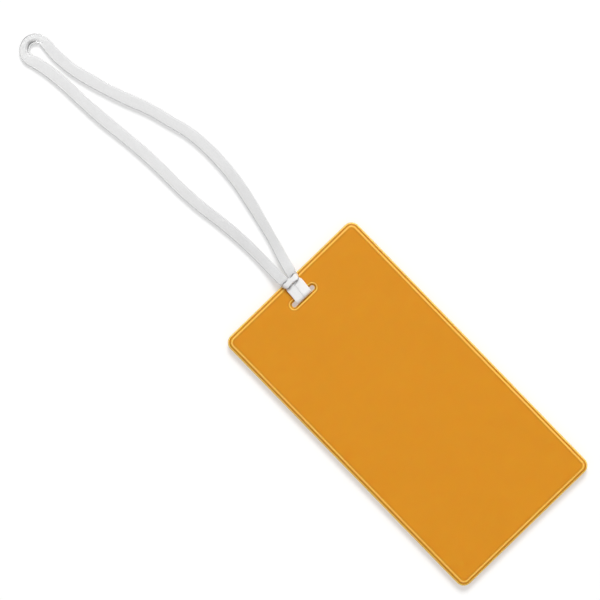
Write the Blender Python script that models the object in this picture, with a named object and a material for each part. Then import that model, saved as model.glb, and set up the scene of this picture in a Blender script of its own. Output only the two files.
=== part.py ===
"""Luggage tag: a flat card of two welded vinyl panels round a stiffener board, with a clear pocket for
an address card on its back, and a clear moulded loop strap hitched through a slot at one end.

Units are metres and +Z is up. The card lies on its back, face up. The origin is at the middle of the
card, on the surface that it lies on, +X is across the card and +Y runs along it towards the strap.

Run it with: blender --background --python part.py
"""

import math

import bmesh
import bpy
from mathutils import Matrix, Vector

MM = 0.001

# Card outline
CARD_LENGTH = 124.4 * MM
CARD_WIDTH = 64.0 * MM
CORNER_RADIUS = 3.1 * MM
SLOT_END = CARD_LENGTH / 2  # y of the card's end with the slot

# Slot for the strap
SLOT_LENGTH = 10.7 * MM
SLOT_HEIGHT = 1.7 * MM
SLOT_INSET = 7.76 * MM  # from the card's end to the slot's centreline
SLOT_Y = SLOT_END - SLOT_INSET

# Thickness of each layer, from the surface up, with a gap wherever two pieces face each other
GAP = 0.3 * MM
FILM = 0.4 * MM
ADDRESS_CARD = 0.4 * MM
PANEL = 0.5 * MM
BOARD = 0.8 * MM
WELD_RIM = 0.5 * MM  # a panel's thickness at its welded edge

FILM_TOP = FILM
ADDRESS_BOTTOM = FILM_TOP + GAP
ADDRESS_TOP = ADDRESS_BOTTOM + ADDRESS_CARD
BACK_BOTTOM = ADDRESS_TOP + GAP
BACK_TOP = BACK_BOTTOM + PANEL
BOARD_BOTTOM = BACK_TOP + GAP
BOARD_TOP = BOARD_BOTTOM + BOARD
FRONT_BOTTOM = BOARD_TOP + GAP
FRONT_TOP = FRONT_BOTTOM + PANEL
WELD_Z = (BACK_TOP + FRONT_BOTTOM) / 2  # the plane where the two panels are welded

# Welded rim: the thin edge, then the slope up to the face, and the wall round the board
RIM_WIDTH = 0.9 * MM
SLOPE_WIDTH = 0.5 * MM
SLOT_RIM_WIDTH = 0.5 * MM
WALL = 1.9 * MM
SLOT_WALL = 1.6 * MM

# Address card and its pocket
ADDRESS_WIDTH = 51.0 * MM
ADDRESS_LENGTH = 89.0 * MM
ADDRESS_CORNER = 2.0 * MM
POCKET_Y = -7.0 * MM
POCKET_PLAY = 0.5 * MM
POCKET_SEAM = 2.2 * MM
OPEN_EDGE_INSET = 1.5 * MM  # the film's open edge stops short of the address card's
NOTCH_RADIUS = 9.0 * MM
NOTCH_OFFSET = 0.25 * NOTCH_RADIUS  # of the thumb notch's centre past the film's open edge

# Strap: one moulded loop of rectangular section with rounded corners
STRAP_WIDTH = 4.1 * MM
STRAP_THICKNESS = 1.3 * MM
HITCH_THICKNESS = 1.1 * MM
SECTION_CORNER = 0.3  # size of the section's corners, as a share of its thickness
STRAND_Z = FRONT_TOP + GAP + HITCH_THICKNESS / 2  # strands over the card's face
BAR_Z = STRAND_Z + HITCH_THICKNESS + 1.1 * GAP  # the cross bar over the strands
LEG_Z = HITCH_THICKNESS / 2  # legs behind the card
HITCH_X = 0.2 * MM  # middle of the two legs
LEG_OFFSET = 1.85 * MM
LEG_WIDTH = 3.3 * MM
NECK_GAP = 0.3 * MM  # between the two strands, pinched together under the bar
TURN_RADIUS = GAP + HITCH_THICKNESS / 2  # of a leg's centreline round the edge of the slot

# Hinge of the loop: an axis along X through the strands, just outside the cross bar
HINGE_Y = SLOT_END + 3.1 * MM
HINGE_Z = STRAND_Z

STEPS_PER_STATION = 3
TIGHTEST_CORNER = 0.8 * MM  # of an outline moved inwards
OVERSHOOT = 1.0 * MM  # of a cutter past the face that it cuts
FLUSH = 0.01 * MM  # keeps a cutter's edge clear of the face that it starts from

# The free loop's centreline, by hand: x, distance from the card's end, height, all in mm. It leaves the
# hitch at the strands' height, comes down, and lies on the surface at half its thickness.
LOOP_ROUTE = (
    (-1.65, 3.4, 4.65),
    (-1.65, 6.5, 4.3),
    (-1.7, 11, 3.2),
    (-1.7, 16, 1.9),
    (-1.75, 21, 1.0),
    (-2.2, 27, 0.65),
    (-3.2, 34, 0.65),
    (-4.2, 42, 0.65),
    (-4.8, 51, 0.65),
    (-5.1, 60, 0.65),
    (-5.6, 70, 0.65),
    (-6.4, 79, 0.65),
    (-7.4, 89, 0.65),
    (-8.3, 98, 0.65),
    (-9.0, 108, 0.65),
    (-9.9, 115.5, 0.65),
    (-11.2, 120.8, 0.65),
    (-11.95, 123.6, 0.65),
    (-11.45, 125.8, 0.65),
    (-9.9, 127.35, 0.65),
    (-7.65, 127.95, 0.65),
    (-5.4, 127.35, 0.65),
    (-3.9, 125.8, 0.65),
    (-3.4, 123.6, 0.65),
    (-3.7, 119, 0.65),
    (-3.7, 114.5, 0.65),
    (-3.1, 109.5, 0.65),
    (-1.4, 103, 0.65),
    (1.2, 95.7, 0.65),
    (4.1, 88, 0.65),
    (6.95, 80.3, 0.65),
    (9.6, 71.5, 0.65),
    (11.4, 64, 0.65),
    (12.2, 56, 0.65),
    (12.1, 47, 0.65),
    (11.3, 38, 0.65),
    (9.7, 29.5, 0.65),
    (7.9, 21.5, 1.05),
    (6.4, 15.5, 1.9),
    (4.95, 10.3, 3.1),
    (3.65, 6.2, 4.25),
    (2.95, 3.4, 4.65),
)


# ---------------------------------------------------------------- scene and materials


def clear_scene():
    for obj in list(bpy.data.objects):
        bpy.data.objects.remove(obj, do_unlink=True)


def material(name, color, roughness, alpha=1.0, transmission=0.0):
    """A Principled material of one colour."""
    made = bpy.data.materials.new(name)
    made.use_nodes = True
    shader = made.node_tree.nodes["Principled BSDF"]
    shader.inputs["Base Color"].default_value = (*color, 1.0)
    shader.inputs["Roughness"].default_value = roughness
    shader.inputs["Metallic"].default_value = 0.0
    shader.inputs["Alpha"].default_value = alpha
    shader.inputs["Transmission Weight"].default_value = transmission
    return made


# ---------------------------------------------------------------- outlines


def rounded_rectangle(width, length, radius, centre=(0.0, 0.0), arc_steps=6):
    """Corner points of a rounded rectangle, anticlockwise."""
    points = []
    corners = ((1, -1, -90), (1, 1, 0), (-1, 1, 90), (-1, -1, 180))
    for side_x, side_y, start in corners:
        middle_x = centre[0] + side_x * (width / 2 - radius)
        middle_y = centre[1] + side_y * (length / 2 - radius)
        for step in range(arc_steps + 1):
            angle = math.radians(start + 90 * step / arc_steps)
            points.append((middle_x + radius * math.cos(angle), middle_y + radius * math.sin(angle)))
    return points


def card_outline(inset=0.0):
    """The card's outline, moved inwards."""
    radius = max(CORNER_RADIUS - inset, TIGHTEST_CORNER)
    return rounded_rectangle(CARD_WIDTH - 2 * inset, CARD_LENGTH - 2 * inset, radius)


def slot_outline(outset=0.0):
    """The slot's outline, with round ends, moved outwards."""
    height = SLOT_HEIGHT + 2 * outset
    # The radius is a hair under half the height, so that no two points meet.
    return rounded_rectangle(SLOT_LENGTH + 2 * outset, height, 0.499 * height, (0.0, SLOT_Y))


# ---------------------------------------------------------------- solids


def mesh_object(name, mesh, surface=None):
    obj = bpy.data.objects.new(name, mesh)
    bpy.context.scene.collection.objects.link(obj)
    if surface:
        mesh.materials.append(surface)
    return obj


def loft(name, levels, surface=None):
    """A closed solid through outlines of equal point count, given in order of height."""
    bm = bmesh.new()
    rings = [[bm.verts.new((x, y, z)) for x, y in outline] for outline, z in levels]
    for low, high in zip(rings, rings[1:]):
        for i, corner in enumerate(low):
            j = (i + 1) % len(low)
            bm.faces.new((corner, low[j], high[j], high[i]))
    bm.faces.new(list(reversed(rings[0])))
    bm.faces.new(rings[-1])
    bmesh.ops.recalc_face_normals(bm, faces=bm.faces)
    mesh = bpy.data.meshes.new(name)
    bm.to_mesh(mesh)
    bm.free()
    return mesh_object(name, mesh, surface)


def cutter(name, levels):
    """A loft that only cuts other solids."""
    obj = loft(name, levels)
    obj.hide_render = True
    obj.display_type = "WIRE"
    return obj


def cut(obj, tool):
    boolean = obj.modifiers.new("cut_" + tool.name, "BOOLEAN")
    boolean.operation = "DIFFERENCE"
    boolean.solver = "EXACT"
    boolean.object = tool


# ---------------------------------------------------------------- card


def panel(name, face_z, weld_z, inside_z, surface):
    """A welded vinyl panel: a shallow tray with a thin rim, a sloped edge and a slot through it."""
    out = 1 if face_z > weld_z else -1
    rim_z = weld_z + out * (GAP / 2 + WELD_RIM)
    seat_z = weld_z + out * GAP / 2
    past = out * OVERSHOOT
    levels = [
        (card_outline(), seat_z),
        (card_outline(), rim_z),
        (card_outline(RIM_WIDTH), rim_z),
        (card_outline(RIM_WIDTH + SLOPE_WIDTH), face_z),
    ]
    slot_levels = [
        (slot_outline(), seat_z - past),
        (slot_outline(), rim_z),
        (slot_outline(SLOT_RIM_WIDTH), rim_z),
        (slot_outline(SLOT_RIM_WIDTH + SLOPE_WIDTH), face_z + out * FLUSH),
        (slot_outline(SLOT_RIM_WIDTH + SLOPE_WIDTH), face_z + past),
    ]
    inside = card_outline(WALL)
    island = slot_outline(SLOT_WALL)
    tray = loft(name, levels, surface)
    recess = cutter(name + "_recess", [(inside, seat_z - past), (inside, inside_z)])
    cut(recess, cutter(name + "_island", [(island, seat_z - 2 * past), (island, inside_z + past)]))
    cut(tray, recess)
    cut(tray, cutter(name + "_slot", slot_levels))
    return tray


def stiffener_board(surface):
    levels = [(card_outline(WALL + GAP), BOARD_BOTTOM), (card_outline(WALL + GAP), BOARD_TOP)]
    board = loft("stiffener_board", levels, surface)
    opening = slot_outline(SLOT_WALL + GAP)
    cut(board, cutter("board_slot", [(opening, BOARD_BOTTOM - GAP), (opening, BOARD_TOP + GAP)]))
    return board


def address_outline(outset=0.0):
    width = ADDRESS_WIDTH + 2 * outset
    length = ADDRESS_LENGTH + 2 * outset
    return rounded_rectangle(width, length, ADDRESS_CORNER + outset, (0.0, POCKET_Y))


def address_card(surface):
    levels = [(address_outline(), ADDRESS_BOTTOM), (address_outline(), ADDRESS_TOP)]
    return loft("address_card", levels, surface)


def pocket_window(surface):
    """The clear film, with a raised seam on three sides and a thumb notch in its open side."""
    seam_top = BACK_BOTTOM - GAP
    outer = address_outline(POCKET_PLAY + POCKET_SEAM)
    film = loft("pocket_window", [(outer, 0.0), (outer, seam_top)], surface)
    room_x = ADDRESS_WIDTH / 2 + POCKET_PLAY
    room_y = ADDRESS_LENGTH / 2 + POCKET_PLAY
    far_x = room_x + 2 * POCKET_SEAM
    room = [(-room_x, POCKET_Y - room_y), (far_x, POCKET_Y - room_y)]
    room += [(far_x, POCKET_Y + room_y), (-room_x, POCKET_Y + room_y)]
    cut(film, cutter("pocket_room", [(room, FILM_TOP), (room, seam_top + GAP)]))
    edge_x = ADDRESS_WIDTH / 2 - OPEN_EDGE_INSET
    spare_y = room_y + 2 * POCKET_SEAM
    spare = [(edge_x, POCKET_Y - spare_y), (far_x, POCKET_Y - spare_y)]
    spare += [(far_x, POCKET_Y + spare_y), (edge_x, POCKET_Y + spare_y)]
    cut(film, cutter("pocket_open_side", [(spare, -GAP), (spare, seam_top + GAP)]))
    notch = circle(NOTCH_RADIUS, (edge_x + NOTCH_OFFSET, POCKET_Y))
    cut(film, cutter("thumb_notch", [(notch, -GAP), (notch, seam_top + GAP)]))
    return film


def circle(radius, centre, steps=32):
    angles = [2 * math.pi * step / steps for step in range(steps)]
    return [(centre[0] + radius * math.cos(a), centre[1] + radius * math.sin(a)) for a in angles]


# ---------------------------------------------------------------- strap


def catmull_rom(before, start, end, after, t):
    """A point on the smooth curve from start to end."""
    return 0.5 * (
        2 * start
        + (end - before) * t
        + (2 * before - 5 * start + 4 * end - after) * t * t
        + (3 * start - before - 3 * end + after) * t**3
    )


def smooth(stations, steps=STEPS_PER_STATION):
    """Stations of (centre, side, size) read from a smooth curve through the given ones."""
    out = []
    last = len(stations) - 1
    for i in range(last):
        near = [stations[max(i - 1, 0)], stations[i], stations[i + 1], stations[min(i + 2, last)]]
        for step in range(steps):
            t = step / steps
            out.append(tuple(catmull_rom(*[station[part] for station in near], t) for part in range(3)))
    out.append(stations[-1])
    return out


def section(width, thickness):
    """Corners of the strap's section, as shares along its width and its thickness."""
    corner = SECTION_CORNER * thickness
    half_width = width / 2
    half_thickness = thickness / 2
    points = []
    for side_x, side_z in ((1, -1), (1, 1), (-1, 1), (-1, -1)):
        tall = (side_x * half_width, side_z * (half_thickness - corner))
        wide = (side_x * (half_width - corner), side_z * half_thickness)
        points += [wide, tall] if side_x * side_z < 0 else [tall, wide]
    return points


def ribbon(name, stations, surface):
    """A strap through stations of (centre, direction of its width, (width, thickness, 0))."""
    stations = smooth(stations)
    last = len(stations) - 1
    bm = bmesh.new()
    rings = []
    for i, (centre, side, size) in enumerate(stations):
        along = stations[min(i + 1, last)][0] - stations[max(i - 1, 0)][0]
        side = side.normalized()
        up = along.cross(side).normalized()
        ring = [bm.verts.new(centre + x * side + z * up) for x, z in section(size.x, size.y)]
        rings.append(ring)
    for one, two in zip(rings, rings[1:]):
        for i, corner in enumerate(one):
            j = (i + 1) % len(one)
            bm.faces.new((corner, one[j], two[j], two[i]))
    bm.faces.new(rings[0])
    bm.faces.new(rings[-1])
    bmesh.ops.recalc_face_normals(bm, faces=bm.faces)
    mesh = bpy.data.meshes.new(name)
    bm.to_mesh(mesh)
    bm.free()
    mesh.shade_smooth()
    mesh.set_sharp_from_angle(angle=math.radians(50))
    return mesh_object(name, mesh, surface)


def loop_stations():
    """The free loop lies flat: its width stays level, square to its route."""
    centres = [Vector((x * MM, SLOT_END + y * MM, z * MM)) for x, y, z in LOOP_ROUTE]
    last = len(centres) - 1
    size = Vector((STRAP_WIDTH, STRAP_THICKNESS, 0))
    stations = []
    for i, centre in enumerate(centres):
        along = centres[min(i + 1, last)] - centres[max(i - 1, 0)]
        stations.append((centre, Vector((along.y, -along.x, 0)).normalized(), size))
    return stations


def leg_stations(side, strand_x):
    """One half of the hitch, from the strand's end at the hinge to the cross bar's middle.
    side is -1 for the left half and 1 for the right. Distances are in mm from the card's end."""
    turn = TURN_RADIUS * math.sin(math.radians(45)) / MM
    radius = TURN_RADIUS / MM
    bridge = -(SLOT_INSET - SLOT_HEIGHT / 2) / MM  # the slot's edge that the legs turn round
    inside = bridge - radius
    top, bottom = FRONT_TOP / MM, BACK_BOTTOM / MM
    strand, bar, leg = STRAND_Z / MM, BAR_Z / MM, LEG_Z / MM
    neck = 0.5 * NECK_GAP / MM + 1.05
    legs = LEG_OFFSET / MM
    wide = LEG_WIDTH / MM
    across = (1, 0, 0)
    lengthwise = (0, 1, 0)
    leaning = (0, 1, 0.2)
    rows = (
        # offset, distance, height, direction of the width, width
        (strand_x, 2.0, strand, across, 3.9),
        (strand_x, 1.5, strand, across, 3.9),
        (0.75 * strand_x + 0.25 * neck, 1.05, strand, across, 3.4),
        (neck, 0.6, strand, across, 2.2),
        (neck, -0.5, strand, across, 2.1),
        (neck, -1.4, strand, across, 2.2),
        (legs - 0.2, -2.7, strand, across, 3.0),
        (legs, -4.0, strand, across, wide),
        (legs, bridge, strand, across, wide),
        (legs, bridge - turn, top + turn, across, wide),
        (legs, inside, top, across, wide),
        (legs, inside, 0.5 * (top + bottom), across, wide),
        (legs, inside, bottom, across, wide),
        (legs, bridge - turn, bottom - turn, across, wide),
        (legs, bridge, leg, across, wide),
        (legs, -4.2, leg, across, wide),
        (legs, -1.8, leg, across, wide),
        (legs + 0.2, 0.1, leg, across, 2.7),
        (legs + 0.65, 1.0, leg + 0.3, (0.85, 0.5, 0.1), 1.7),
        (legs + 1.15, 1.3, 1.7, (0.4, 0.9, 0.12), 1.2),
        (legs + 1.3, 0.95, 2.9, leaning, 1.0),
        (legs + 1.3, 0.35, 3.85, leaning, 1.0),
        (legs + 1.15, -0.15, 4.8, leaning, 1.3),
        (legs + 0.6, -0.6, bar - 0.35, leaning, 2.4),
        (1.6, -0.75, bar - 0.03, lengthwise, 2.9),
        (0.75, -0.6, bar, lengthwise, 2.5),
        (0.0, -0.35, bar, lengthwise, 2.1),
    )
    stations = []
    for offset, distance, height, width_along, width in rows:
        centre = Vector((HITCH_X + side * offset * MM, SLOT_END + distance * MM, height * MM))
        direction = Vector((-side * width_along[0], *width_along[1:])).normalized()
        stations.append((centre, direction, Vector((width * MM, HITCH_THICKNESS, 0))))
    return stations


def strap_hitch(surface):
    left = leg_stations(-1, 1.85)
    right = leg_stations(1, 2.6)
    return ribbon("strap_hitch", left + right[-2::-1], surface)


# ---------------------------------------------------------------- assembly


def empty(name, location=(0, 0, 0)):
    obj = bpy.data.objects.new(name, None)
    obj.location = location
    bpy.context.scene.collection.objects.link(obj)
    return obj


def attach(obj, parent):
    obj.parent = parent
    obj.matrix_parent_inverse = Matrix.Translation(parent.location).inverted()


def main():
    clear_scene()
    orange = material("orange_vinyl", (0.72, 0.28, 0.022), 0.45)
    orange_back = material("orange_vinyl_back", (0.66, 0.25, 0.02), 0.5)
    grey_board = material("grey_board", (0.55, 0.53, 0.49), 0.9)
    white_card = material("white_card", (0.88, 0.87, 0.84), 0.8)
    clear_film = material("clear_film", (0.93, 0.95, 0.96), 0.1, alpha=0.4, transmission=0.8)
    clear_strap = material("clear_strap", (0.86, 0.86, 0.87), 0.3, alpha=0.75, transmission=0.5)

    tag = empty("tag")
    hinge = empty("strap_hinge", (0, HINGE_Y, HINGE_Z))
    slide = empty("address_slide", (0, POCKET_Y, ADDRESS_BOTTOM))
    attach(panel("front_panel", FRONT_TOP, WELD_Z, FRONT_BOTTOM, orange), tag)
    attach(panel("back_panel", BACK_BOTTOM, WELD_Z, BACK_TOP, orange_back), tag)
    attach(stiffener_board(grey_board), tag)
    attach(pocket_window(clear_film), tag)
    attach(address_card(white_card), slide)
    attach(strap_hitch(clear_strap), tag)
    attach(ribbon("strap_loop", loop_stations(), clear_strap), hinge)


main()
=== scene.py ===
"""Looks of the luggage tag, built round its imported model: two welded vinyl panels, a stiffener board, a
clear pocket with its address card, and a moulded clear strap hitched through the card's slot.

Metres, +Z up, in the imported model's frame: the card lies face up, and +Y runs to the strap.
"""

import math

import bmesh
import bpy
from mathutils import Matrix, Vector

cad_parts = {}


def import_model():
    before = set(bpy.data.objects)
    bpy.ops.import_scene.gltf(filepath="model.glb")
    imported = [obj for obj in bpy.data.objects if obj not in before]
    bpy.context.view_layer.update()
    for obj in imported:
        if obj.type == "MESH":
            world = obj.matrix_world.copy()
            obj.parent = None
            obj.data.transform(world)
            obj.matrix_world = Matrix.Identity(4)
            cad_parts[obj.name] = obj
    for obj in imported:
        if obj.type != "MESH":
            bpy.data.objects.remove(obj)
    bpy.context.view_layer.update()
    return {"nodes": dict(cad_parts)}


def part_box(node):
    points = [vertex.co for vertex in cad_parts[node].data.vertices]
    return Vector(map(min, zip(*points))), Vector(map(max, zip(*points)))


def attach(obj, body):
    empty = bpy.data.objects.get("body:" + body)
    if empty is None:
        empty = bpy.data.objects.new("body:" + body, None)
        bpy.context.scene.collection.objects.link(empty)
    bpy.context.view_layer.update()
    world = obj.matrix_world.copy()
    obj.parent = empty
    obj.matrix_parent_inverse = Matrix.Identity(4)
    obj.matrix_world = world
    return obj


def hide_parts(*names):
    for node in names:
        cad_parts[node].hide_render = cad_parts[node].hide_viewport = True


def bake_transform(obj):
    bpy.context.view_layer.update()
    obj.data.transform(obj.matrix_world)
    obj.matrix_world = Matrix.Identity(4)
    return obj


MM = 0.001

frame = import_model()

# Card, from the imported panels
FRONT_LOW, FRONT_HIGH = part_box("front_panel")
BACK_LOW, BACK_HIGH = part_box("back_panel")
CARD_WIDTH = FRONT_HIGH.x - FRONT_LOW.x
CARD_LENGTH = FRONT_HIGH.y - FRONT_LOW.y
SLOT_END = FRONT_HIGH.y  # y of the card's end with the slot
WELD_Z = (FRONT_LOW.z + BACK_HIGH.z) / 2  # where the two panels meet
FRONT_FACE = FRONT_HIGH.z - WELD_Z  # height of each face from the weld
BACK_FACE = WELD_Z - BACK_LOW.z
CORNER_RADIUS = 3.1 * MM
CORNER_STEPS = 14
TIGHTEST_CORNER = 0.6 * MM

SLOT_LENGTH = 10.7 * MM
SLOT_HEIGHT = 1.7 * MM
SLOT_INSET = 7.76 * MM  # from the card's end to the slot's middle
SLOT_ROUNDING = 0.499  # just under half, so that no two points of an end's arcs coincide
SLOT_Y = SLOT_END - SLOT_INSET
WALL = 1.9 * MM  # solid edge round the stiffener board
SLOT_WALL = 1.6 * MM
PANEL = 0.5 * MM  # thickness of a panel over the board
WELD_GAP = 0.01 * MM  # keeps the two panels' inner faces apart

# A panel's surface from its edge inwards: distance from the edge and height from the weld, in mm. The
# weld's die leaves a thin lip, a groove and a raised bead before the flat face, which lies at 1.2.
PROFILE_FACE = 1.2
EDGE_PROFILE = (
    (-0.28, 0.01),
    (-0.3, 0.06),
    (-0.27, 0.2),
    (-0.2, 0.42),
    (-0.1, 0.62),
    (0.04, 0.78),
    (0.2, 0.86),
    (0.4, 0.88),
    (0.58, 0.89),
    (0.74, 0.95),
    (0.88, 1.05),
    (1.0, 1.15),
    (1.1, 1.21),
    (1.22, 1.24),
    (1.34, 1.23),
    (1.5, 1.19),
    (1.7, 1.17),
    (2.0, 1.18),
    (2.4, 1.2),
    (2.9, 1.2),
)
SLOT_PROFILE = (
    (0.03, 0.01),
    (0.0, 0.1),
    (0.0, 0.42),
    (0.05, 0.54),
    (0.14, 0.6),
    (0.26, 0.61),
    (0.38, 0.6),
    (0.5, 0.68),
    (0.62, 0.92),
    (0.72, 1.12),
    (0.82, 1.22),
    (0.92, 1.25),
    (1.02, 1.23),
    (1.14, 1.18),
    (1.3, 1.16),
    (1.55, 1.19),
    (1.8, 1.2),
    (2.1, 1.2),
)
FLASH = 0.3  # thin squeeze-out beyond the card's edge, where the weld attribute is 0
FLAT = 2.8  # value of the weld attribute on the flat face
SLOT_SHARE = 1.54 / 1.22  # the slot's bead lies nearer to its edge than the card's does

# Colours across the weld, from its edge inwards, and where each is reached: 0 is the lip's edge and 1 the
# flat face. The lip and the face have the vinyl's own colours; the darker groove and bead's foot are
# painted shade, and the brighter bead is a painted highlight.
LIP_EDGE = (0.85, 0.45, 0.1)
LIP = (0.95, 0.62, 0.16)
GROOVE_PAINTED_SHADE = (0.57, 0.23, 0.005)
BEAD_PAINTED_HIGHLIGHT = (0.97, 0.55, 0.11)
FOOT_PAINTED_SHADE = (0.66, 0.27, 0.01)
FACE = (0.78, 0.3, 0.01)
ORANGE_WITH_PAINTED_RIM_LIGHT = (
    (0.0, LIP_EDGE),
    (0.08, LIP),
    (0.11, LIP),
    (0.24, GROOVE_PAINTED_SHADE),
    (0.35, GROOVE_PAINTED_SHADE),
    (0.5, BEAD_PAINTED_HIGHLIGHT),
    (0.56, BEAD_PAINTED_HIGHLIGHT),
    (0.7, FOOT_PAINTED_SHADE),
    (0.75, FOOT_PAINTED_SHADE),
    (0.95, FACE),
)

# Ruled lines on the address card
RULE_SPACING = 9 * MM
RULE_WIDTH = 0.3 * MM
RULE_MARGIN = 4 * MM
INK = 0.6  # how much darker than the card a rule is

# Strap, in mm
STRAP_WIDTH = 4.1
STRAP_THICKNESS = 1.3
STATION_STEP = 0.55

# Hitch: its two legs lie side by side on the card, go through the slot and under the card, and come up
# round the card's end as the cross bar over the strands.
HITCH_THICKNESS = 1.1
HITCH_X = 0.5  # x of its middle
FACE_HEIGHT = FRONT_HIGH.z / MM
BACK_HEIGHT = BACK_LOW.z / MM
GAP = 0.15
STRAND_HEIGHT = FACE_HEIGHT + GAP + HITCH_THICKNESS / 2
BAR_HEIGHT = STRAND_HEIGHT + HITCH_THICKNESS + GAP
LEG_HEIGHT = HITCH_THICKNESS / 2  # of the legs' middle under the card
LEG_OFFSET = 1.72  # of each leg's middle from the hitch's
LEG_WIDTH = 3.6
LEG_LEAN = 0.1  # the legs lean a little towards -X on their way to the slot
NECK_OFFSET = 1.3  # of each strand under the bar
LEFT_STRAND, RIGHT_STRAND = 1.85, 2.5  # offsets of the strands just outside the bar
THROUGH_SLOT = 1.08  # from the slot's edge to the middle of a leg inside the slot

# Section from an edge inwards: a rounded edge, then the flat band's points, each with its distance from
# the edge, its height in half thicknesses, and how far the bend's groove lowers it.
ROUND_EDGE = 0.45
ROUND_STEPS = (0, 22.5, 45, 67.5, 90)
BAND_POINTS = (
    (0.62, 0.84, -0.1),
    (0.8, 0.94, 0.2),
    (1.0, 0.97, 0.55),
    (1.2, 0.96, 0.45),
    (1.4, 0.95, 0.1),
    (1.6, 0.95, 0.0),
    (1.8, 0.95, 0.0),
)
OUTER_GROOVE = 0.2  # share of the groove on the bend's outer side

# Painted dark lines of the clear plastic, standing in for the dark surroundings that it bends into view:
# widths from an edge, and strengths
BAR_LINE = 0.45
BEND_LINE, BEND_STRENGTH = 0.3, 0.6  # the bend's outer edge
GROOVE_LINE = (0.7, 1.1)  # the bottom of the bend's groove
SHADE_END, SHADE_STRENGTH = 1.8, 0.35  # the softer painted shade beside it

# Finish of the strap: whiteness, roughness, clearness
FROSTED = (0.83, 0.42, 0.2)
SHADED_FROSTED = (0.745, 0.42, 0.2)  # painted shade: a darker frosted finish for the strands' ends, which slope towards the light and would show brighter
SHADED_FROSTED_END = 60.0  # where the painted shade has faded out and the strands are fully FROSTED, from the card's end
MILKY = (0.97, 0.16, 0.12)
# a greyer white for the left leg than for the right
MILKY_LEFT = (0.88, 0.16, 0.12)
BAR = (1.0, 0.06, 0.2)
BAR_END = (1.0, 0.06, 0.45)
CLEAR = (1.0, 0.05, 0.4)
CLEAR_START, CLEAR_FADE = 123.0, 3.0  # the far bend's clear part, from the card's end

# The free loop's centreline: x, distance from the card's end, height, width, and how dark the painted
# shade lines are where the clear bend turns the light away.
LOOP_ROUTE = (
    (-1.4, 3.4, 3.4, 4.0, 0),
    (-1.45, 6.5, 2.4, 3.95, 0),
    (-1.45, 11, 1.7, 3.95, 0),
    (-1.45, 16, 1.45, 4.05, 0),
    (-1.65, 21, 1.35, 4.15, 0),
    (-2.1, 27, 1.35, 4.2, 0),
    (-2.9, 34, 1.35, 4.2, 0),
    (-4.05, 42, 1.35, 4.25, 0),
    (-4.7, 51, 1.35, 4.35, 0),
    (-4.85, 60, 1.35, 4.4, 0),
    (-5.35, 70, 1.35, 4.4, 0),
    (-6.2, 79, 1.35, 4.5, 0),
    (-7.4, 89, 1.35, 4.7, 0),
    (-8.15, 98, 1.3, 4.4, 0),
    (-8.65, 108, 1.2, 4.5, 0),
    (-9.5, 115.5, 1.05, 4.6, 0),
    (-10.65, 120.8, 0.95, 4.6, 0),
    (-11.55, 123.6, 0.9, 4.4, 0.05),
    (-11.25, 125.9, 0.9, 4.15, 0.1),
    (-9.8, 127.5, 0.9, 3.95, 0.45),
    (-7.5, 128.3, 0.9, 3.9, 0.95),
    (-5.2, 127.6, 0.9, 3.9, 0.65),
    (-3.65, 126, 0.9, 3.8, 0.12),
    (-3.25, 123.5, 0.9, 4.1, 0.05),
    (-3.5, 119, 0.95, 4.4, 0),
    (-3.3, 114.5, 1.05, 4.5, 0),
    (-2.65, 109.5, 1.2, 4.5, 0),
    (-0.95, 103, 1.3, 4.7, 0),
    (1.25, 95.7, 1.35, 4.5, 0),
    (4.1, 88, 1.35, 4.7, 0),
    (7.15, 80.3, 1.35, 4.5, 0),
    (9.65, 71.5, 1.35, 4.4, 0),
    (11.65, 64, 1.35, 4.4, 0),
    (12.5, 56, 1.35, 4.4, 0),
    (12.45, 47, 1.35, 4.4, 0),
    (11.55, 38, 1.35, 4.3, 0),
    (9.9, 29.5, 1.35, 4.2, 0),
    (8.05, 21.5, 1.4, 3.75, 0),
    (6.6, 15.5, 1.6, 3.6, 0),
    (5.15, 10.3, 1.95, 3.75, 0),
    (4.0, 6.2, 2.7, 3.85, 0),
    (3.3, 3.4, 3.5, 4.0, 0),
)

# Stage, in metres
FLOOR_HALF = 3.0
KEY_PLACE = (2.46, 2.36, 3.96)  # a large soft lamp to the upper right of the view
KEY_SIZE = 2.2
KEY_POWER = 208.0
# Brightness of the surroundings by height: 0 is the horizon, 1 is straight up
STUDIO = ((0.0, 0.55), (0.25, 0.55), (0.5, 0.9), (0.85, 0.7), (1.0, 0.35))
STUDIO_STRENGTH = 0.8
FLAG_DARKNESS = 0.9  # share of the light that is held back low down towards +Y
BACKDROP = 1.3  # white behind the floor's far edge, for the camera only

# Camera over the object, turned so that the strap points to the upper left
CAMERA_CENTRE = Vector((-1.78 * MM, SLOT_END - 7.9 * MM, FRONT_HIGH.z))
CAMERA_TURN = -44.1
VIEW_WIDTH = 217.6 * MM
LENS = 200.0
SENSOR = 36.0


# ---------------------------------------------------------------- node helpers


def node_material(name):
    made = bpy.data.materials.new(name)
    made.use_nodes = True
    return made, made.node_tree, made.node_tree.nodes["Principled BSDF"]


def add(tree, kind, inputs=None, **settings):
    """A node with its settings, and its inputs set or linked by name or number."""
    node = tree.nodes.new(kind)
    for key, value in settings.items():
        setattr(node, key, value)
    for key, value in (inputs or {}).items():
        if isinstance(value, bpy.types.NodeSocket):
            tree.links.new(value, node.inputs[key])
        else:
            node.inputs[key].default_value = value
    return node


def math_node(tree, operation, *values):
    return add(tree, "ShaderNodeMath", dict(enumerate(values)), operation=operation).outputs[0]


def ramp(tree, factor, stops):
    """A colour ramp through (position, colour) stops."""
    node = add(tree, "ShaderNodeValToRGB", {"Fac": factor})
    elements = node.color_ramp.elements
    while len(elements) < len(stops):
        elements.new(0.5)
    for element, (position, colour) in zip(elements, stops):
        element.position = position
        element.color = (*colour, 1.0)
    return node.outputs["Color"]


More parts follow.
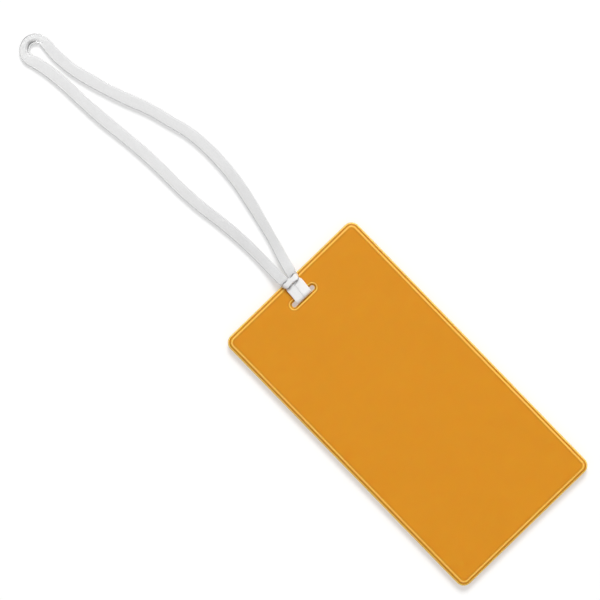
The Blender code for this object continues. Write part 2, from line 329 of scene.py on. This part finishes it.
def noise(tree, vector, scale, detail=2.0, roughness=0.5):
    inputs = {"Vector": vector, "Scale": scale, "Detail": detail, "Roughness": roughness}
    return add(tree, "ShaderNodeTexNoise", inputs).outputs["Fac"]


def remap(tree, value, low, high, new_low, new_high):
    inputs = {"Value": value, "From Min": low, "From Max": high, "To Min": new_low, "To Max": new_high}
    return add(tree, "ShaderNodeMapRange", inputs).outputs["Result"]


def tinted(tree, colour, factor):
    """A colour multiplied by a grey factor."""
    scaled = add(tree, "ShaderNodeVectorMath", {0: colour, "Scale": factor}, operation="SCALE")
    return scaled.outputs[0]


def bump(tree, height, distance, strength=1.0, normal=None):
    inputs = {"Height": height, "Distance": distance, "Strength": strength}
    if normal:
        inputs["Normal"] = normal
    return add(tree, "ShaderNodeBump", inputs).outputs["Normal"]


def place(tree):
    return add(tree, "ShaderNodeTexCoord").outputs["Object"]


# ---------------------------------------------------------------- materials


def vinyl(name, stops):
    """Satin vinyl: an even face, and by the weld attribute the lip's colours, painted shade in the groove
    and at the bead's foot, and a painted highlight on the bead.
    """
    made, tree, shader = node_material(name)
    where = place(tree)
    weld = add(tree, "ShaderNodeAttribute", attribute_name="weld").outputs["Fac"]
    # the ramp paints shade into the groove and at the bead's foot, and a highlight on the bead
    colour = ramp(tree, math_node(tree, "DIVIDE", weld, FLAT), stops)
    cloud = noise(tree, where, 60.0, 3.0)
    colour = tinted(tree, colour, remap(tree, cloud, 0.3, 0.7, 0.995, 1.005))
    tree.links.new(colour, shader.inputs["Base Color"])
    grain = noise(tree, where, 2600.0, 2.0, 0.6)
    rough = remap(tree, noise(tree, where, 240.0, 4.0), 0.3, 0.7, 0.36, 0.46)
    tree.links.new(rough, shader.inputs["Roughness"])
    swell = bump(tree, noise(tree, where, 22.0, 1.0), 0.0004, 0.1)
    fine = bump(tree, grain, 0.00002, 0.5, swell)
    tree.links.new(fine, shader.inputs["Normal"])
    shader.inputs["Specular IOR Level"].default_value = 0.25
    shader.inputs["Subsurface Weight"].default_value = 1.0
    shader.inputs["Subsurface Radius"].default_value = (1.0, 0.7, 0.4)
    shader.inputs["Subsurface Scale"].default_value = 1.5 * MM
    return made


def strap_material():
    """Clear moulded plastic, frosted and finely ribbed along the strands, by the mesh's own attributes."""
    made, tree, shader = node_material("clear_strap")
    white = add(tree, "ShaderNodeAttribute", attribute_name="whiteness").outputs["Fac"]
    rough = add(tree, "ShaderNodeAttribute", attribute_name="roughness").outputs["Fac"]
    clear = add(tree, "ShaderNodeAttribute", attribute_name="clearness").outputs["Fac"]
    lie = add(tree, "ShaderNodeUVMap", uv_map="along").outputs["UV"]
    speckle = noise(tree, lie, 1.6, 3.0, 0.6)
    factor = remap(tree, speckle, 0.3, 0.7, 0.975, 1.025)
    level = math_node(tree, "MULTIPLY", white, factor)
    colour = add(tree, "ShaderNodeCombineColor", {"Red": level, "Green": level, "Blue": level}).outputs[0]
    tree.links.new(colour, shader.inputs["Base Color"])
    tree.links.new(rough, shader.inputs["Roughness"])
    tree.links.new(clear, shader.inputs["Transmission Weight"])
    split = add(tree, "ShaderNodeSeparateXYZ", {0: lie})
    drawn = add(tree, "ShaderNodeCombineXYZ", {"X": split.outputs["X"]}).outputs[0]
    # The clear bend has no streaks, and only the frosted strands have a grain.
    moulded = remap(tree, clear, 0.2, 0.34, 1.0, 0.0)
    frost = remap(tree, rough, 0.3, 0.4, 0.0, 1.0)
    streaks = math_node(tree, "MULTIPLY", noise(tree, drawn, 2.6, 3.0, 0.6), moulded)
    normal = bump(tree, streaks, 0.00008, 0.6)
    frost_grain = math_node(tree, "MULTIPLY", noise(tree, lie, 9.0, 2.0), frost)
    normal = bump(tree, frost_grain, 0.00004, 0.5, normal)
    tree.links.new(normal, shader.inputs["Normal"])
    shader.inputs["IOR"].default_value = 1.45
    shader.inputs["Subsurface Weight"].default_value = 0.5
    shader.inputs["Subsurface Radius"].default_value = (1.0, 1.0, 1.0)
    shader.inputs["Subsurface Scale"].default_value = 0.8 * MM
    return made


def paper_material():
    """Uncoated card stock with ruled lines for an address on its lower side."""
    made, tree, shader = node_material("card_stock")
    where = place(tree)
    fibre = noise(tree, where, 900.0, 5.0, 0.65)
    colour = ramp(tree, fibre, ((0.3, (0.76, 0.75, 0.71)), (0.7, (0.82, 0.81, 0.78))))
    split = add(tree, "ShaderNodeSeparateXYZ", {0: where})
    x, y, z = (split.outputs[axis] for axis in "XYZ")
    low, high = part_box("address_card")
    row = math_node(tree, "FRACT", math_node(tree, "DIVIDE", y, RULE_SPACING))
    inked = math_node(tree, "LESS_THAN", row, RULE_WIDTH / RULE_SPACING)
    for limit in (
        math_node(tree, "LESS_THAN", z, (low.z + high.z) / 2),
        math_node(tree, "LESS_THAN", math_node(tree, "ABSOLUTE", x), high.x - RULE_MARGIN),
        math_node(tree, "LESS_THAN", y, high.y - 2 * RULE_MARGIN),
        math_node(tree, "GREATER_THAN", y, low.y + 2 * RULE_MARGIN),
    ):
        inked = math_node(tree, "MULTIPLY", inked, limit)
    paleness = math_node(tree, "SUBTRACT", 1.0, math_node(tree, "MULTIPLY", inked, INK))
    colour = tinted(tree, colour, paleness)
    tree.links.new(colour, shader.inputs["Base Color"])
    tree.links.new(bump(tree, fibre, 0.00003, 0.4), shader.inputs["Normal"])
    shader.inputs["Roughness"].default_value = 0.85
    return made


def board_material():
    """Grey pulp board."""
    made, tree, shader = node_material("grey_board")
    where = place(tree)
    pulp = noise(tree, where, 700.0, 6.0, 0.7)
    colour = ramp(tree, pulp, ((0.3, (0.42, 0.4, 0.37)), (0.7, (0.56, 0.54, 0.5))))
    tree.links.new(colour, shader.inputs["Base Color"])
    tree.links.new(bump(tree, pulp, 0.00005, 0.5), shader.inputs["Normal"])
    shader.inputs["Roughness"].default_value = 0.9
    return made


def film_material():
    """Clear vinyl film, slightly uneven in its gloss."""
    made, tree, shader = node_material("clear_film")
    where = place(tree)
    shader.inputs["Base Color"].default_value = (0.95, 0.96, 0.97, 1.0)
    rough = remap(tree, noise(tree, where, 150.0, 3.0), 0.3, 0.7, 0.05, 0.14)
    tree.links.new(rough, shader.inputs["Roughness"])
    shader.inputs["Transmission Weight"].default_value = 1.0
    shader.inputs["IOR"].default_value = 1.45
    return made


def floor_material():
    """Matt white that glows a little, so that it stays white beside the object."""
    made, _, shader = node_material("floor")
    shader.inputs["Base Color"].default_value = (0.57, 0.57, 0.57, 1.0)
    shader.inputs["Roughness"].default_value = 0.9
    shader.inputs["Specular IOR Level"].default_value = 0.0
    shader.inputs["Emission Color"].default_value = (1.0, 1.0, 1.0, 1.0)
    shader.inputs["Emission Strength"].default_value = 0.4
    return made


# ---------------------------------------------------------------- mesh helpers


def rounded_rectangle(width, length, radius, centre_y=0.0):
    """Points of a rounded rectangle, anticlockwise."""
    points = []
    for side_x, side_y, start in ((1, -1, -90), (1, 1, 0), (-1, 1, 90), (-1, -1, 180)):
        middle_x = side_x * (width / 2 - radius)
        middle_y = centre_y + side_y * (length / 2 - radius)
        for step in range(CORNER_STEPS + 1):
            angle = math.radians(start + 90 * step / CORNER_STEPS)
            points.append((middle_x + radius * math.cos(angle), middle_y + radius * math.sin(angle)))
    return points


def card_outline(inset):
    radius = max(CORNER_RADIUS - inset, TIGHTEST_CORNER)
    return rounded_rectangle(CARD_WIDTH - 2 * inset, CARD_LENGTH - 2 * inset, radius)


def slot_outline(outset):
    height = SLOT_HEIGHT + 2 * outset
    return rounded_rectangle(SLOT_LENGTH + 2 * outset, height, SLOT_ROUNDING * height, SLOT_Y)


def finish_mesh(name, bm, surface, body=None):
    bmesh.ops.recalc_face_normals(bm, faces=bm.faces)
    mesh = bpy.data.meshes.new(name)
    bm.to_mesh(mesh)
    bm.free()
    mesh.shade_smooth()
    mesh.materials.append(surface)
    obj = bpy.data.objects.new(name, mesh)
    bpy.context.scene.collection.objects.link(obj)
    if body:
        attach(obj, body)
    return obj


def bridge(bm, rings):
    """Quads between each closed ring of points and the next."""
    for one, two in zip(rings, rings[1:]):
        count = len(one)
        for i in range(count):
            j = (i + 1) % count
            bm.faces.new((one[i], one[j], two[j], two[i]))


def ring_edges(ring):
    """The edges between a closed ring's neighbouring points."""
    pairs = zip(ring, ring[1:] + ring[:1])
    return [next(edge for edge in a.link_edges if edge.other_vert(a) is b) for a, b in pairs]


# ---------------------------------------------------------------- panels


def panel(name, node, direction, face_height, surface):
    """One vinyl panel: its welded edge, its flat face, the recess for the board and the slot's bead."""
    bm = bmesh.new()
    weld = bm.verts.layers.float.new("weld")
    scale = face_height / PROFILE_FACE
    inside = face_height - PANEL

    def ring(outline, height, value):
        made = [bm.verts.new((x, y, WELD_Z + direction * height)) for x, y in outline]
        for vert in made:
            vert[weld] = value
        return made

    outer = [ring(card_outline(WALL), height, 0.0) for height in (inside, WELD_GAP)]
    for inset, height in EDGE_PROFILE:
        value = min(inset + FLASH, FLAT)
        outer.append(ring(card_outline(inset * MM), height * scale, value))
    hole = [ring(slot_outline(SLOT_WALL), height, 0.0) for height in (inside, WELD_GAP)]
    for outset, height in SLOT_PROFILE:
        value = min((outset + FLASH) * SLOT_SHARE, FLAT)
        hole.append(ring(slot_outline(outset * MM), height * scale, value))
    bridge(bm, outer)
    bridge(bm, hole)
    for end in (0, -1):
        edges = ring_edges(outer[end]) + ring_edges(hole[end])
        bmesh.ops.triangle_fill(bm, edges=edges, use_beauty=True, use_dissolve=False)
    obj = finish_mesh(name, bm, surface, "tag")
    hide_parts(node)
    return obj


# ---------------------------------------------------------------- strap


def catmull_rom(before, start, end, after, t):
    """The curve through start and end, at the share t between them."""
    return 0.5 * (
        2 * start
        + (end - before) * t
        + (2 * before - 5 * start + 4 * end - after) * t * t
        + (3 * start - before - 3 * end + after) * t**3
    )


def station(centre, side, width, thickness, finish, grooved=0.0, dark=0.0):
    """One place on the strap: its middle, the direction of its width, its size and painted dark lines, its
    finish.
    """
    size = Vector((width, thickness, grooved, dark))
    return Vector(centre), Vector(side).normalized(), size, Vector(finish)


def leg_stations(side, strand_x):
    """One half of the hitch, from the strand's end at the hinge to the cross bar's middle.
    side is -1 for the left half and 1 for the right. All in mm, y from the card's end."""
    slot_edge = -(SLOT_INSET - SLOT_HEIGHT / 2) / MM
    inside = slot_edge - THROUGH_SLOT
    strand, bar, leg = STRAND_HEIGHT, BAR_HEIGHT, LEG_HEIGHT
    top, bottom = FACE_HEIGHT, BACK_HEIGHT
    neck, legs, wide = NECK_OFFSET, LEG_OFFSET, LEG_WIDTH
    milky = MILKY if side > 0 else MILKY_LEFT
    across, lengthwise, leaning = (1, 0, 0), (0, 1, 0), (0, 1, 0.2)
    rows = (
        # offset, distance from the card's end, height, direction of the width, width, finish, painted dark
        # edges
        # the strands' ends at the hinge carry painted shade
        (strand_x, 2.0, strand - 0.25, across, 4.0, SHADED_FROSTED),
        (0.5 * strand_x + 0.9, 1.05, strand, across, 3.85, SHADED_FROSTED),
        (0.3 * strand_x + 1.15, 0.75, strand, across, 3.4, SHADED_FROSTED),
        (neck, 0.4, strand, across, 2.7, SHADED_FROSTED),
        (neck, 0.0, strand, across, 2.6, milky),
        (neck, -0.6, strand, across, 2.6, milky),
        (neck + 0.1, -1.2, strand, across, 2.85, milky),
        (legs - 0.1, -1.8, strand, across, 3.2, milky),
        (legs, -2.6, strand, across, wide, milky),
        (legs, -4.0, strand, across, wide, milky),
        (legs, slot_edge - 0.35, strand, across, wide, milky),
        (legs, inside + 0.2, top + 0.65, across, wide, milky),
        (legs, inside, top, across, wide, milky),
        (legs, inside, 0.5 * (top + bottom), across, wide, milky),
        (legs, inside, bottom, across, wide, milky),
        (legs, inside + 0.2, bottom - 0.65, across, wide, milky),
        (legs, slot_edge - 0.35, leg, across, wide, milky),
        (legs, -4.2, leg, across, wide, milky),
        (legs, -1.8, leg, across, wide, milky),
        (legs + 0.3, 0.1, leg, across, 2.7, milky),
        (legs + 0.8, 1.0, leg + 0.3, (0.85, 0.5, 0.1), 1.7, BAR_END),
        (legs + 1.3, 1.3, 1.7, (0.4, 0.9, 0.12), 1.2, BAR_END),
        (legs + 1.5, 0.95, 2.9, leaning, 1.0, BAR_END),
        (legs + 1.5, 0.35, 3.85, leaning, 1.0, BAR_END),
        (legs + 1.35, -0.15, 4.8, leaning, 1.3, BAR_END),
        (legs + 0.85, -0.6, bar - 0.3, leaning, 2.9, BAR, 0.6),
        (1.75, -0.75, bar - 0.03, lengthwise, 2.9, BAR, 0.75),
        (0.9, -0.65, bar, lengthwise, 2.6, BAR, 0.5),
        (0.0, -0.5, bar, lengthwise, 2.2, BAR, 0.0),
    )
    made = []
    for offset, distance, height, along_width, width, finish, *dark in rows:
        centre = (HITCH_X + side * offset + LEG_LEAN * min(distance + 4, 0), distance, height)
        direction = (-side * along_width[0], *along_width[1:])
        made.append(station(centre, direction, width, HITCH_THICKNESS, finish, 0.0, *dark))
    return made


def loop_stations():
    """The free loop: its width stays level and square to its route."""
    centres = [Vector(row[:3]) for row in LOOP_ROUTE]
    last = len(centres) - 1
    made = []
    for i, centre in enumerate(centres):
        along = centres[min(i + 1, last)] - centres[max(i - 1, 0)]
        side = Vector((along.y, -along.x, 0)).normalized()
        # painted shade on the strands, fading out away from the card's end
        share = min(centre.y / SHADED_FROSTED_END, 1.0)
        finish = Vector(SHADED_FROSTED).lerp(Vector(FROSTED), share)
        clear = min(max((centre.y - CLEAR_START) / CLEAR_FADE, 0.0), 1.0)
        finish = finish.lerp(Vector(CLEAR), clear)
        width, dark = LOOP_ROUTE[i][3:]
        made.append(station(centre, side, width, STRAP_THICKNESS, finish, clear, dark))
    return made


def strap_ring():
    """Stations all round the closed strap, close together, starting at the cross bar's middle."""
    left = leg_stations(-1, LEFT_STRAND)[::-1]
    right = leg_stations(1, RIGHT_STRAND)[:-1]
    rough = left + loop_stations() + right
    count = len(rough)
    fine = []
    for i in range(count):
        near = [rough[(i + offset) % count] for offset in (-1, 0, 1, 2)]
        steps = max(1, round((near[2][0] - near[1][0]).length / STATION_STEP))
        for step in range(steps):
            parts = range(len(near[0]))
            fine.append([catmull_rom(*[each[part] for each in near], step / steps) for part in parts])
    return fine


def section(width, thickness, grooved):
    """The strap's section: round edges and a flat band, with a groove beside the bend's inner edge."""
    scale = min(1.0, width / STRAP_WIDTH)
    half = thickness / 2

    def edge(groove):
        arc = [math.radians(angle) for angle in ROUND_STEPS]
        points = [(ROUND_EDGE * (1 - math.cos(a)), math.sin(a)) for a in arc]
        points += [(x, z - lowered * groove) for x, z, lowered in BAND_POINTS]
        return [(-width / 2 + x * scale, z * half) for x, z in points]

    upper = edge(OUTER_GROOVE * grooved) + [(-x, z) for x, z in reversed(edge(grooved))]
    lower = [(x, -z) for x, z in reversed(upper[1:-1])]
    return upper + lower


def painted_line_strength(x, width, grooved):
    """How strongly a point across the section is painted dark, standing in for clear plastic that bends
    the
    light away: both edges of the cross bar, and the outer edge and the inner groove of the far bend."""
    from_outer, from_inner = width / 2 + x, width / 2 - x
    if grooved < 0.5:
        return 1.0 if min(from_outer, from_inner) < BAR_LINE else 0.0
    if from_outer < BEND_LINE:
        return BEND_STRENGTH
    if GROOVE_LINE[0] < from_inner < GROOVE_LINE[1]:
        return 1.0
    return SHADE_STRENGTH if GROOVE_LINE[1] < from_inner < SHADE_END else 0.0


def around_section():
    """Distance round the nominal section to each of its points, and on to the first one again."""
    outline = section(STRAP_WIDTH, STRAP_THICKNESS, 0.0)
    around = [0.0]
    for (x0, z0), (x1, z1) in zip(outline, outline[1:] + outline[:1]):
        around.append(around[-1] + math.hypot(x1 - x0, z1 - z0))
    return around


def strap(surface):
    """The whole strap as the one moulded ring that it really is."""
    stations = strap_ring()
    count = len(stations)
    to_frame = Vector((0, SLOT_END / MM, 0))
    bm = bmesh.new()
    names = ("whiteness", "roughness", "clearness")
    layers = [bm.verts.layers.float.new(name) for name in names]
    lie = bm.loops.layers.uv.new("along")
    rings, distances = [], []
    travelled = 0.0
    for i, (centre, side, size, finish) in enumerate(stations):
        ahead, behind = stations[(i + 1) % count][0], stations[i - 1][0]
        side = side.normalized()
        up = (ahead - behind).cross(side).normalized()
        ring = []
        for x, z in section(*size[:3]):
            vert = bm.verts.new((centre + x * side + z * up + to_frame) * MM)
            for layer, value in zip(layers, finish):
                vert[layer] = min(max(value, 0.0), 1.0)
            # painted dark lines in the whiteness, for the cross bar's edges and the far bend
            vert[layers[0]] *= 1.0 - size.w * painted_line_strength(x, size.x, size.z)
            ring.append(vert)
        rings.append(ring)
        distances.append(travelled)
        travelled += (ahead - centre).length
    distances.append(travelled)
    around = around_section()
    points = len(around) - 1
    for i in range(count):
        one, two = rings[i], rings[(i + 1) % count]
        for j in range(points):
            k = (j + 1) % points
            face = bm.faces.new((one[j], one[k], two[k], two[j]))
            corners = ((j, i), (j + 1, i), (j + 1, i + 1), (j, i + 1))
            for loop, (across, along) in zip(face.loops, corners):
                loop[lie].uv = (around[across], distances[along])
    obj = finish_mesh("strap", bm, surface)
    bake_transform(obj)
    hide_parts("strap_hitch", "strap_loop")
    path = [(s[0] + to_frame) * MM for s in stations]
    path.append(path[0])
    return obj


# ---------------------------------------------------------------- stage


def area_light(name, location, target, size, power):
    data = bpy.data.lights.new(name, "AREA")
    data.shape = "DISK"
    data.size = size
    data.energy = power
    obj = bpy.data.objects.new(name, data)
    obj.location = location
    obj.rotation_euler = (Vector(target) - Vector(location)).to_track_quat("-Z", "Y").to_euler()
    obj.visible_transmission = False  # no lamp disc shines through the clear plastic
    bpy.context.scene.collection.objects.link(obj)
    return obj


def world():
    """Even studio light, brightest at middle heights, with a dark flag low down towards +Y and a plain
    white backdrop for the camera."""
    made = bpy.data.worlds.new("studio")
    made.use_nodes = True
    tree = made.node_tree
    direction = add(tree, "ShaderNodeTexCoord").outputs["Generated"]
    height = add(tree, "ShaderNodeSeparateXYZ", {0: direction}).outputs["Z"]
    colour = ramp(tree, height, [(position, (level, level, level)) for position, level in STUDIO])
    beyond = add(tree, "ShaderNodeSeparateXYZ", {0: direction}).outputs["Y"]
    low = remap(tree, height, 0.25, 0.5, 1.0, 0.0)
    flag = math_node(tree, "MULTIPLY", remap(tree, beyond, 0.45, 0.8, 0.0, FLAG_DARKNESS), low)
    colour = tinted(tree, colour, math_node(tree, "SUBTRACT", 1.0, flag))
    background = tree.nodes["Background"]
    seen = add(tree, "ShaderNodeLightPath").outputs["Is Camera Ray"]
    backdrop = add(tree, "ShaderNodeMix", {0: seen, "A": colour}, data_type="RGBA")
    backdrop.inputs["B"].default_value = (BACKDROP, BACKDROP, BACKDROP, 1.0)
    tree.links.new(backdrop.outputs["Result"], background.inputs["Color"])
    background.inputs["Strength"].default_value = STUDIO_STRENGTH
    bpy.context.scene.world = made


def floor():
    bm = bmesh.new()
    corners = ((-1, -1), (1, -1), (1, 1), (-1, 1))
    bm.faces.new([bm.verts.new((FLOOR_HALF * x, FLOOR_HALF * y, 0)) for x, y in corners])
    obj = finish_mesh("floor", bm, floor_material())


def camera():
    data = bpy.data.cameras.new("camera")
    data.lens = LENS
    data.sensor_width = SENSOR
    obj = bpy.data.objects.new("camera", data)
    height = VIEW_WIDTH * LENS / SENSOR
    obj.location = CAMERA_CENTRE + Vector((0, 0, height))
    obj.rotation_euler = (0, 0, math.radians(CAMERA_TURN))
    bpy.context.scene.collection.objects.link(obj)
    bpy.context.scene.camera = obj


# ---------------------------------------------------------------- everything


def main():
    camera()
    world()
    area_light("key", KEY_PLACE, (0, SLOT_END, 0), KEY_SIZE, KEY_POWER)
    floor()
    strap(strap_material())
    orange = vinyl("front_vinyl", ORANGE_WITH_PAINTED_RIM_LIGHT)
    panel("front_vinyl_panel", "front_panel", 1, FRONT_FACE, orange)
    panel("back_vinyl_panel", "back_panel", -1, BACK_FACE, orange)
    for node, surface, slot in (
        ("stiffener_board", board_material(), "grey_board"),
        ("address_card", paper_material(), "card_stock"),
        ("pocket_window", film_material(), "clear_film"),
    ):
        obj = frame["nodes"][node]
        obj.data.materials.clear()
        obj.data.materials.append(surface)
    bpy.context.scene.view_settings.view_transform = "Standard"


main()
